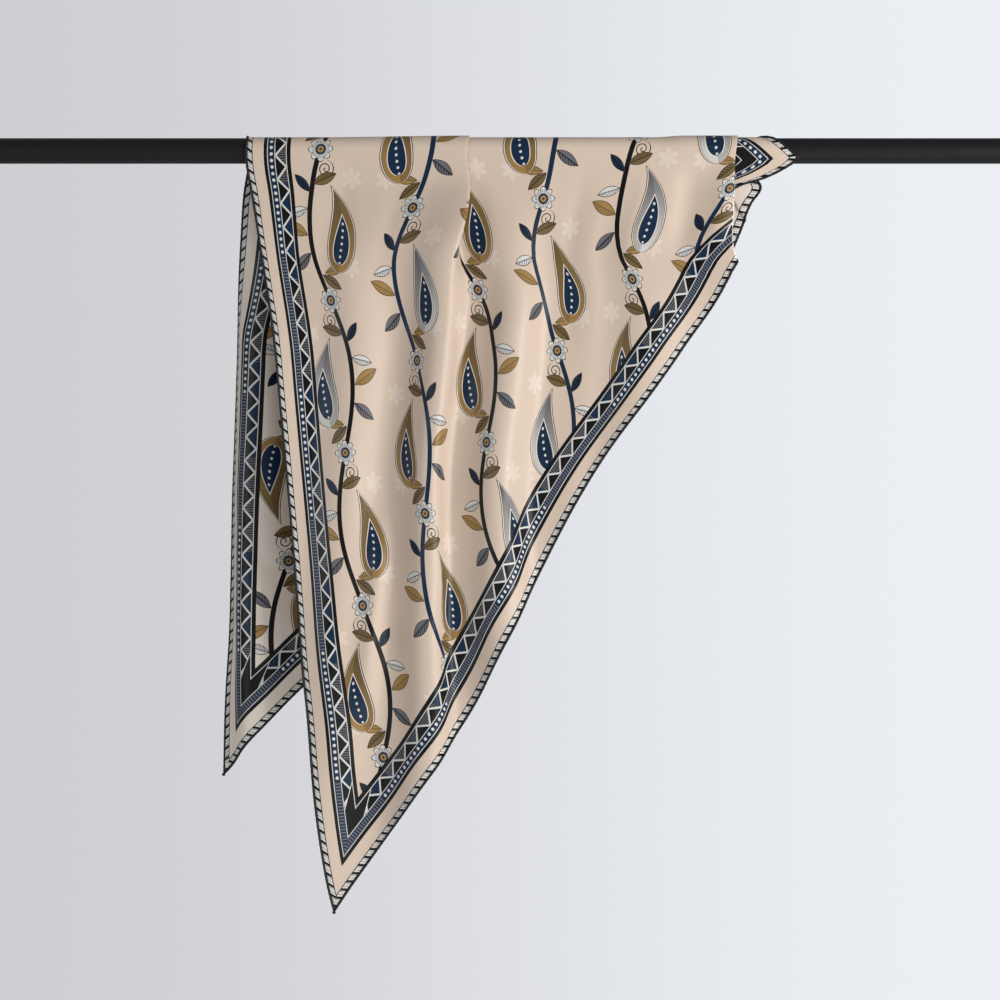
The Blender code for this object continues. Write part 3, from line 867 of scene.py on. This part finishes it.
def turned(u, v, base, degrees):
    """Lengths along and off an axis that starts at base and points this way."""
    turn = math.radians(degrees)
    from_u = u - base[0]
    from_v = v - base[1]
    along = from_u * math.cos(turn) + from_v * math.sin(turn)
    off = from_v * math.cos(turn) - from_u * math.sin(turn)
    return along, off


def add_leaf(tree, colour, u, v, place_and_size, body, shade):
    """A pointed leaf with a veined half, a rib and a rim."""
    base, degrees, length, half_width = place_and_size
    along, off = turned(u, v, base, degrees)
    share = along / length
    gap = share * (-share + 1.0) * (4 * half_width) - off.size()
    inside = gap > 0.0
    veins = ((along - off.size() * VEIN_SLANT) / VEIN_EVERY).rest() < VEIN_SHARE
    colour = paint(tree, colour, body, inside)
    colour = paint(tree, colour, shade, inside * veins * (off > 0.0))
    colour = paint(tree, colour, shade, inside * (off.size() < LEAF_RIB))
    return paint(tree, colour, BROWN, inside * (gap < LEAF_RIM))


print("veins of a leaf every", VEIN_EVERY, "m")

# %% The large drop
# The half width of the drop, and of its heart, is WIDTH * sqrt(share) * (1 - share)
# at each share of its length.
DROP_BASE = (-0.062, -0.020)
DROP_DEGREES = -14
DROP_LENGTH = 0.106
DROP_WIDTH = 0.058
DROP_HOOK = 0.036
DROP_OUTLINES = [(BROWN, 0.0), (PALE_CREAM, 0.0012), (BROWN, 0.0024)]
DROP_BODY = 0.0030
DROP_SHADING = 1.1
ENGRAVED_EVERY = 0.0023
ENGRAVED_SHARE = 0.36
ENGRAVED_SLANT = 0.9
HEART_FROM = 0.010
HEART_LENGTH = 0.064
HEART_WIDTH = 0.034
HEART_RIM = 0.0013
SPOT_EVERY = 0.0082
SPOT_RADIUS = 0.0018
SPOT_ROOM = 0.0042


def add_drop(tree, colour, u, v, body, shade):
    """A bent teardrop in outlines, one half engraved, with a navy heart and spots."""
    along, off = turned(u, v, DROP_BASE, DROP_DEGREES)
    share = along / DROP_LENGTH
    bent = off - share * share * share * DROP_HOOK
    gap = share.root() * (-share + 1.0) * DROP_WIDTH - bent.size()
    for line_colour, inset in DROP_OUTLINES:
        colour = paint(tree, colour, line_colour, gap > inset)
    tone = paint(tree, body, shade, share * DROP_SHADING)
    colour = paint(tree, colour, tone, gap > DROP_BODY)
    lines = ((along + bent.size() * ENGRAVED_SLANT) / ENGRAVED_EVERY).rest()
    engraved = (gap > DROP_BODY) * (lines < ENGRAVED_SHARE) * (bent > 0.0)
    colour = paint(tree, colour, BROWN, engraved)

    heart_share = (along - HEART_FROM) / HEART_LENGTH
    heart = heart_share.root() * (-heart_share + 1.0) * HEART_WIDTH - bent.size()
    colour = paint(tree, colour, PALE_CREAM, heart > 0.0)
    colour = paint(tree, colour, NAVY, heart > HEART_RIM)
    spot = distance(repeated(along, SPOT_EVERY), bent) < SPOT_RADIUS
    return paint(tree, colour, WHITE, spot * (heart > SPOT_ROOM))


print("length of the drop:", DROP_LENGTH)

# %% A flower
PETALS = 8
PETAL_FROM = 0.0100
PETAL_MORE = 0.0052
PETAL_RIM = 0.0012
PETAL_LINES = 24
PETAL_LINE_FROM = 0.35
PETAL_LINE_BAND = (0.0060, 0.0118)
FLOWER_RINGS = [(NAVY, 0.0068), (GOLD, 0.0042), (BROWN, 0.0016)]


def add_flower(tree, colour, u, v):
    """A flower with its middle at u and v of 0."""
    far = distance(u, v)
    angle = v.angle_to(u)
    petals = (angle * (PETALS / 2)).cosine().size() * PETAL_MORE + PETAL_FROM
    colour = paint(tree, colour, BROWN, far < petals + PETAL_RIM)
    colour = paint(tree, colour, WHITE, far < petals)
    lines = (angle * PETAL_LINES).sine() > PETAL_LINE_FROM
    colour = paint(tree, colour, GREY, lines * within(far, *PETAL_LINE_BAND))
    for ring_colour, radius in FLOWER_RINGS:
        colour = paint(tree, colour, ring_colour, far < radius)
    return colour


print("petals of a flower:", PETALS)

# %% A pale flower, a vine and a tendril
BAY_LONG = 0.190
BAY_WIDE = 0.126
VINE_SWAY = 0.020
VINE_HALF = 0.0034
GHOST_AT = (0.056, -0.040)
GHOST_FROM = 0.0060
GHOST_MORE = 0.0080
GHOST_PETALS = 6
GHOST_STRENGTH = 0.45
CURL_AT = (0.070, -0.006)
CURL_PITCH = 0.0056
CURL_SHARE = 0.24
CURL_REACH = 0.0112


def add_ghost(tree, colour, u, v):
    """Two pale six-petalled flowers in the bay's ground, on either side of its middle."""
    ghost_u = u.size() - GHOST_AT[0]
    ghost_v = v - GHOST_AT[1]
    angle = ghost_v.angle_to(ghost_u)
    petals = (angle * (GHOST_PETALS / 2)).cosine().size() * GHOST_MORE + GHOST_FROM
    inside = distance(ghost_u, ghost_v) < petals
    return paint(tree, colour, PALE_CREAM, inside * GHOST_STRENGTH)


def add_vine(tree, colour, u, v, navy_lane):
    middle = (u * (math.pi / BAY_LONG)).cosine() * VINE_SWAY
    on_vine = (v - middle).size() < VINE_HALF
    colour = paint(tree, colour, BLACK, on_vine)
    return paint(tree, colour, NAVY, on_vine * navy_lane)


def add_tendril(tree, colour, u, v):
    curl_u = u - CURL_AT[0]
    curl_v = v - CURL_AT[1]
    curl = distance(curl_u, curl_v)
    turns = curl_v.angle_to(curl_u) / (2 * math.pi)
    winding = (curl / CURL_PITCH - turns).rest() < CURL_SHARE
    return paint(tree, colour, BLACK, winding * (curl < CURL_REACH))


print("one bay:", BAY_LONG, "by", BAY_WIDE, "m")

# %% One bay, repeated over the field
FIELD_FROM = FRAME[1]
LANE_FROM = 0.0350
ROW_SHIFT = 0.43
COOL_EVERY = 3  # one drop in three is white and grey, and the others are gold

# (place on the bay, degrees, length, half width), body, shade
LEAVES = [
    (((-0.062, 0.006), -128, 0.034, 0.0068), OLIVE, BROWN),
    (((-0.060, 0.002), -84, 0.030, 0.0060), GOLD, OLIVE),
    (((-0.034, 0.020), 128, 0.036, 0.0074), GREY, BLACK),
    (((-0.012, 0.023), 62, 0.040, 0.0080), GOLD, OLIVE),
    (((0.022, 0.021), 104, 0.032, 0.0066), WHITE, GREY),
    (((0.042, 0.017), 38, 0.030, 0.0060), NAVY, BLACK),
    (((0.052, 0.012), -70, 0.034, 0.0072), OLIVE, BROWN),
]


def field(tree, colour, x, y):
    """The field's print. u runs along a bay and v across it, from the bay's middle."""
    lane = (y - LANE_FROM) / BAY_WIDE
    lane_number = lane.floor()
    odd_lane = lane_number.odd()
    bay = x / BAY_LONG + odd_lane * ROW_SHIFT
    bay_number = bay.floor()
    side = bay_number.odd() * 2.0 - 1.0
    u = (bay.rest() - 0.5) * BAY_LONG
    v = (lane.rest() - 0.5) * BAY_WIDE * side

    colour = add_ghost(tree, colour, u, v)
    colour = add_vine(tree, colour, u, v, odd_lane)
    colour = add_tendril(tree, colour, u, v)
    for place_and_size, body, shade in LEAVES:
        colour = add_leaf(tree, colour, u, v, place_and_size, body, shade)
    cool = ((bay_number + lane_number * 2.0) / COOL_EVERY).rest() < 0.2
    body = paint(tree, GOLD, WHITE, cool)
    shade = paint(tree, OLIVE, GREY, cool)
    colour = add_drop(tree, colour, u, v, body, shade)
    return add_flower(tree, colour, u.size() - BAY_LONG / 2, v)


print("leaves in a bay:", len(LEAVES))

# %% [markdown]
# ## The silk's material
#
# Printed silk twill is smooth and a little glossy, and its shine lies along the
# folds. The right side and the wrong side carry the same print, because the dye
# goes through, but the ground is paler on the wrong side. A fine slanting rib,
# far too small to model, is a bump.

# %% Helpers for every material
def new_material(name, roughness, specular):
    material = bpy.data.materials.new(name)
    material.use_nodes = True
    tree = material.node_tree
    shader = tree.nodes["Principled BSDF"]
    shader.inputs["Roughness"].default_value = roughness
    shader.inputs["Specular IOR Level"].default_value = specular
    return material, tree, shader


def object_coordinates(tree):
    return tree.nodes.new("ShaderNodeTexCoord").outputs["Object"]


def grain(tree, at, scale, detail):
    """Soft random grain from 0 to 1."""
    noise = tree.nodes.new("ShaderNodeTexNoise")
    noise.inputs["Scale"].default_value = scale
    noise.inputs["Detail"].default_value = detail
    tree.links.new(at, noise.inputs["Vector"])
    return Sum(tree, noise.outputs["Fac"])


def add_bump(tree, shader, height, strength, depth):
    bump = tree.nodes.new("ShaderNodeBump")
    bump.inputs["Strength"].default_value = strength
    bump.inputs["Distance"].default_value = depth
    tree.links.new(height.socket, bump.inputs["Height"])
    tree.links.new(bump.outputs["Normal"], shader.inputs["Normal"])


print("helpers for materials are ready")

# %% Numbers that the print is written in
def print_numbers(tree):
    """The flat UV map, then x along the long edge and y in from it, the distances to
    the nearest edge and to the second nearest, and how far along the nearest."""
    uv = tree.nodes.new("ShaderNodeUVMap")
    uv.uv_map = "flat"
    parts = tree.nodes.new("ShaderNodeSeparateXYZ")
    tree.links.new(uv.outputs[0], parts.inputs[0])
    x = Sum(tree, parts.outputs["X"])
    y = Sum(tree, parts.outputs["Y"])
    front_far = (x - y) / math.sqrt(2)
    back_far = (-(x + y) + LONG_EDGE) / math.sqrt(2)
    far = y.least(front_far).least(back_far)
    farthest = y.most(front_far).most(back_far)
    second = y + front_far + back_far - far - farthest
    front_run = (x + y) / math.sqrt(2)
    back_run = (-x + y + LONG_EDGE) / math.sqrt(2)
    on_front = (front_far < y) * (front_far < back_far)
    on_back = (back_far < y) * (back_far < front_far)
    on_long = (-(on_front + on_back)) + 1.0
    run = front_run * on_front + back_run * on_back + x * on_long
    return uv.outputs[0], x, y, far, second, run


print("the long edge's numbers run from 0 to", LONG_EDGE)

# %% Silk materials
RIB_EVERY = 0.0011
SLUB_EVERY = 0.0019
SLUB_SHARE = 0.4
DEEPEST_DYE = 0.94  # the ground's darkest cloud, as a share of its colour


def silk_material(name, dyed):
    material, tree, shader = new_material(name, roughness=0.38, specular=0.24)
    flat, x, y, far, second, run = print_numbers(tree)

    darker = tuple(part * DEEPEST_DYE for part in dyed)
    ground = paint(tree, dyed, darker, grain(tree, flat, scale=7.0, detail=3.0))
    filled = paint(tree, ground, field(tree, ground, x, y), far > FIELD_FROM)
    printed = border(tree, filled, far, second, run)
    tree.links.new(printed, shader.inputs["Base Color"])

    rib = ((x + y) * (2 * math.pi / RIB_EVERY)).sine()
    slub = ((x - y) * (2 * math.pi / SLUB_EVERY)).sine()
    add_bump(tree, shader, rib + slub * SLUB_SHARE, strength=0.12, depth=0.0001)
    return material


silk.data.materials.append(silk_material("silk_right_side", CREAM))
silk.data.materials.append(silk_material("silk_wrong_side", PALE_CREAM))
print("silk nodes:", len(silk.data.materials[0].node_tree.nodes))
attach(silk, "root")
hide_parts("scarf_front", "scarf_over_rail", "scarf_back")

# %% [markdown]
# ## The rolled hem
#
# The edge of a good silk scarf is rolled by hand into a plump cord and caught
# every few millimetres with a small stitch, which pinches it a little. Here a
# curve follows the cloth's edge and a round section runs along it, thinner at
# each stitch. A plain tube of one thickness would look like wire.

# %% Hem material
def thread_material(name, light, scale, depth):
    """Black silk with fine irregular grain."""
    material, tree, shader = new_material(name, roughness=0.50, specular=0.30)
    fibres = grain(tree, object_coordinates(tree), scale, detail=4.0)
    tree.links.new(paint(tree, BLACK, light, fibres), shader.inputs["Base Color"])
    add_bump(tree, shader, fibres, strength=0.35, depth=depth)
    return material


hem_finish = thread_material("hem_black_silk", (0.018, 0.016, 0.019), 420.0, 0.0003)
stitch_finish = thread_material("stitch_thread", (0.040, 0.037, 0.042), 1600.0, 0.0001)
print("made:", hem_finish.name, "and", stitch_finish.name)

# %% The line of a hem
HEM_RISE = 0.0008
STITCH_EVERY = 0.0075
POINTS_A_STITCH = 4


def hem_line(start, end, inward):
    """Points of a hem's middle between two points of the outline."""
    length = float(np.linalg.norm(end - start))
    way = (end - start) / length
    count = int(length / STITCH_EVERY) * POINTS_A_STITCH
    centres = []
    for i in range(count + 1):
        point = start + way * length * i / count + inward * SHEET_INSET
        centres.append(place(*point) + outward(*point) * HEM_RISE)
    return centres


print("points of a hem every", STITCH_EVERY / POINTS_A_STITCH, "m")

# %% Hems
HEM_RADIUS = 0.0015
HEM_ROUNDNESS = 2
PINCH = 0.16
SWELL = 0.03
SWELL_RATE = 0.12

stitch_places = []


def make_hem(name, start, end, edge, node):
    """A rolled hem between two points of the flat outline, on the given edge."""
    centres = hem_line(start, end, OUTLINE[edge][1])
    for i in range(POINTS_A_STITCH, len(centres) - 1, POINTS_A_STITCH):
        stitch_places.append((centres[i], (centres[i + 1] - centres[i - 1]).normalized()))
    curve = bpy.data.curves.new(name, "CURVE")
    curve.dimensions = "3D"
    curve.bevel_depth = HEM_RADIUS
    curve.bevel_resolution = HEM_ROUNDNESS
    curve.use_fill_caps = True
    spline = curve.splines.new("POLY")
    spline.points.add(len(centres) - 1)
    for i, centre in enumerate(centres):
        caught = (0.5 + 0.5 * math.cos(2 * math.pi * i / POINTS_A_STITCH)) ** 3
        spline.points[i].co = (*centre, 1.0)
        spline.points[i].radius = 1 - PINCH * caught - SWELL * math.sin(i * SWELL_RATE)
    made = add_object(name, curve)
    bpy.ops.object.select_all(action="DESELECT")
    made.select_set(True)
    bpy.context.view_layer.objects.active = made
    bpy.ops.object.convert(target="MESH")
    made = bpy.context.view_layer.objects.active
    bpy.ops.object.shade_smooth()
    made.data.materials.clear()
    made.data.materials.append(hem_finish)
    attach(made, "root")
    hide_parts(node)
    print(name, "faces:", len(made.data.polygons))
    return made


on_rail = flat_point(0.0, 0.0)
hems = [
    make_hem("rolled_hem_long_front", on_rail, FRONT_TIP, 0, "hem_long_front"),
    make_hem("rolled_hem_long_back", on_rail, BACK_TIP, 0, "hem_long_back"),
    make_hem("rolled_hem_leg_front", FRONT_TIP, CORNER, 1, "hem_leg_front"),
    make_hem("rolled_hem_leg_back", BACK_TIP, CORNER, 2, "hem_leg_back"),
]

# %% [markdown]
# ## Stitches of the hem
#
# At every pinch one turn of thread goes round the roll, a little aslant. One
# small ring is modelled and its points are laid at each pinch, all in one mesh.
# Modelling a thread that dives in and out would take far more faces than the
# eye can tell apart at this size.

# %% One ring
THREAD_RADIUS = 0.00022
THREAD_SHOWS = 0.3  # how far its middle lies off the roll, as a share of its radius

bpy.ops.object.select_all(action="DESELECT")
bpy.ops.mesh.primitive_torus_add(
    major_segments=10,
    minor_segments=4,
    major_radius=HEM_RADIUS * (1 - PINCH) + THREAD_RADIUS * THREAD_SHOWS,
    minor_radius=THREAD_RADIUS,
)
ring = bpy.context.active_object
ring_points = [v.co.copy() for v in ring.data.vertices]
ring_faces = [tuple(f.vertices) for f in ring.data.polygons]
bpy.data.objects.remove(ring, do_unlink=True)
print("faces of one ring:", len(ring_faces))

# %% The ring laid at every pinch
STITCH_SLANT = 0.45

points = []
faces = []
for centre, ahead in stitch_places:
    sideways = ahead.cross(Vector((0.0, 1.0, 0.0))).normalized()
    axis = (ahead + sideways * STITCH_SLANT).normalized()
    turn = axis.to_track_quat("Z", "Y")
    first = len(points)
    points += [centre + turn @ point for point in ring_points]
    faces += [tuple(first + i for i in face) for face in ring_faces]
stitch_mesh = bpy.data.meshes.new("hem_stitches")
stitch_mesh.from_pydata(points, [], faces)
stitch_mesh.polygons.foreach_set("use_smooth", [True] * len(faces))
stitch_mesh.materials.append(stitch_finish)
stitches = add_object("hem_stitches", stitch_mesh)
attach(stitches, "root")
print("stitches:", len(stitch_places), "faces:", len(faces))

# %% [markdown]
# ## The rail
#
# The rail is a painted steel tube. Its solid is right already, so it keeps its
# shape and gets a satin black paint with a very fine orange-peel bump.

# %% Rail material
RAIL_BLACKS = ((0.0060, 0.0050, 0.0060), (0.0095, 0.0080, 0.0095))


def rail_material():
    material, tree, shader = new_material("satin_black_paint", roughness=0.46, specular=0.22)
    peel = grain(tree, object_coordinates(tree), scale=260.0, detail=2.0)
    tree.links.new(paint(tree, *RAIL_BLACKS, peel), shader.inputs["Base Color"])
    add_bump(tree, shader, peel, strength=0.10, depth=0.0002)
    return material


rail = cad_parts["rail"]
rail.data.materials.clear()
rail.data.materials.append(rail_material())
print("rail painted:", rail.data.materials[0].name)

# %% [markdown]

# %% [markdown]
# ## Floor, light and camera
#
# The photograph was taken straight on. A large soft light from the right draws
# the folds, weaker ones from the left and from low in front fill them, and one
# more lights the back for a walk round. A small pale floor lies well below the scarf.

# %% Floor
FLOOR_SIZE = 2.0
FLOOR_LEVEL = -1.30
FLOOR_GREYS = ((0.74, 0.75, 0.77), (0.78, 0.79, 0.81))


def floor_material():
    material, tree, shader = new_material("pale_floor", roughness=0.8, specular=0.5)
    clouds = grain(tree, object_coordinates(tree), scale=3.0, detail=2.0)
    tree.links.new(paint(tree, *FLOOR_GREYS, clouds), shader.inputs["Base Color"])
    return material


bpy.ops.object.select_all(action="DESELECT")
bpy.ops.mesh.primitive_plane_add(size=FLOOR_SIZE, location=(0, 0, FLOOR_LEVEL))
floor = bpy.context.active_object
floor.name = "floor"
bpy.ops.object.transform_apply(location=True)
floor.data.materials.append(floor_material())
print("floor at", FLOOR_LEVEL)

# %% Lights
SCARF_MIDDLE = (0.0, 0.0, -0.35)
SCARF_LOWER = (0.0, 0.0, -0.6)
WARM_WHITE = (1.0, 0.985, 0.965)
SOFT_WHITE = (1.0, 0.99, 0.98)
PLAIN_WHITE = (1.0, 1.0, 1.0)
COOL_WHITE = (0.97, 0.985, 1.0)

# name, width and height, watts, place, what it is aimed at, colour
LIGHTS = [
    ("key_right", (1.2, 1.6), 71, (2.3, -1.8, -0.2), SCARF_MIDDLE, WARM_WHITE),
    ("fill_left", (1.6, 1.6), 20, (-2.5, -2.1, -0.2), SCARF_MIDDLE, COOL_WHITE),
    ("low", (1.6, 0.8), 10, (0.5, -1.4, -1.5), SCARF_LOWER, PLAIN_WHITE),
    ("behind", (1.6, 1.6), 88, (2.3, 2.3, 0.2), SCARF_MIDDLE, SOFT_WHITE),
]


def add_light(name, size, power, location, target, colour):
    data = bpy.data.lights.new(name, "AREA")
    data.shape = "RECTANGLE"
    data.size = size[0]
    data.size_y = size[1]
    data.energy = power
    data.color = colour
    lamp = add_object(name, data)
    lamp.location = location
    aim = Vector(target) - Vector(location)
    lamp.rotation_euler = aim.to_track_quat("-Z", "Y").to_euler()
    lamp.visible_camera = False


for light in LIGHTS:
    add_light(*light)
print("lights:", len(LIGHTS))

# %% Pale room
ROOM_LIGHT = (0.285, 0.290, 0.300)
BACKDROP_SHADED_LEFT = (0.625, 0.620, 0.645)
BACKDROP_LIT_RIGHT = (0.835, 0.865, 0.905)
BACKDROP_TURN = 0.21


def pale_room():
    """A wall with painted light, darker on the left and paler on the right towards the
    light, and an even room light.
    """
    world = bpy.data.worlds.new("pale_room")
    world.use_nodes = True
    tree = world.node_tree
    at = tree.nodes.new("ShaderNodeTexCoord")
    parts = tree.nodes.new("ShaderNodeSeparateXYZ")
    tree.links.new(at.outputs["Generated"], parts.inputs[0])
    ramp = tree.nodes.new("ShaderNodeMapRange")
    ramp.interpolation_type = "SMOOTHSTEP"
    ramp.inputs["From Min"].default_value = -BACKDROP_TURN
    ramp.inputs["From Max"].default_value = BACKDROP_TURN
    tree.links.new(parts.outputs["X"], ramp.inputs["Value"])
    # Painted light: the wall seen behind the scarf is painted paler towards the right, as if
    # lit from the right.
    wall = paint(tree, BACKDROP_SHADED_LEFT, BACKDROP_LIT_RIGHT, Sum(tree, ramp.outputs["Result"]))
    seen = tree.nodes.new("ShaderNodeLightPath")
    colour = paint(tree, ROOM_LIGHT, wall, Sum(tree, seen.outputs["Is Camera Ray"]))
    tree.links.new(colour, tree.nodes["Background"].inputs["Color"])
    return world


bpy.context.scene.world = pale_room()
print("room light:", ROOM_LIGHT)

# %% Camera
METRES_A_PIXEL = 0.00126
PICTURE = 1000
RAIL_ROW = 151
DISTANCE = 3.0
SENSOR = 36.0

camera_data = bpy.data.cameras.new("camera")
camera_data.sensor_width = SENSOR
camera_data.lens = SENSOR * DISTANCE / (PICTURE * METRES_A_PIXEL)
camera_data.clip_end = 50.0
camera = add_object("camera", camera_data)
camera.location = (0.0, -DISTANCE, (RAIL_ROW - PICTURE / 2) * METRES_A_PIXEL)
camera.rotation_euler = (math.pi / 2, 0.0, 0.0)
bpy.context.scene.camera = camera
bpy.context.scene.view_settings.view_transform = "Standard"
print("camera lens:", round(camera_data.lens, 2))

# %% [markdown]
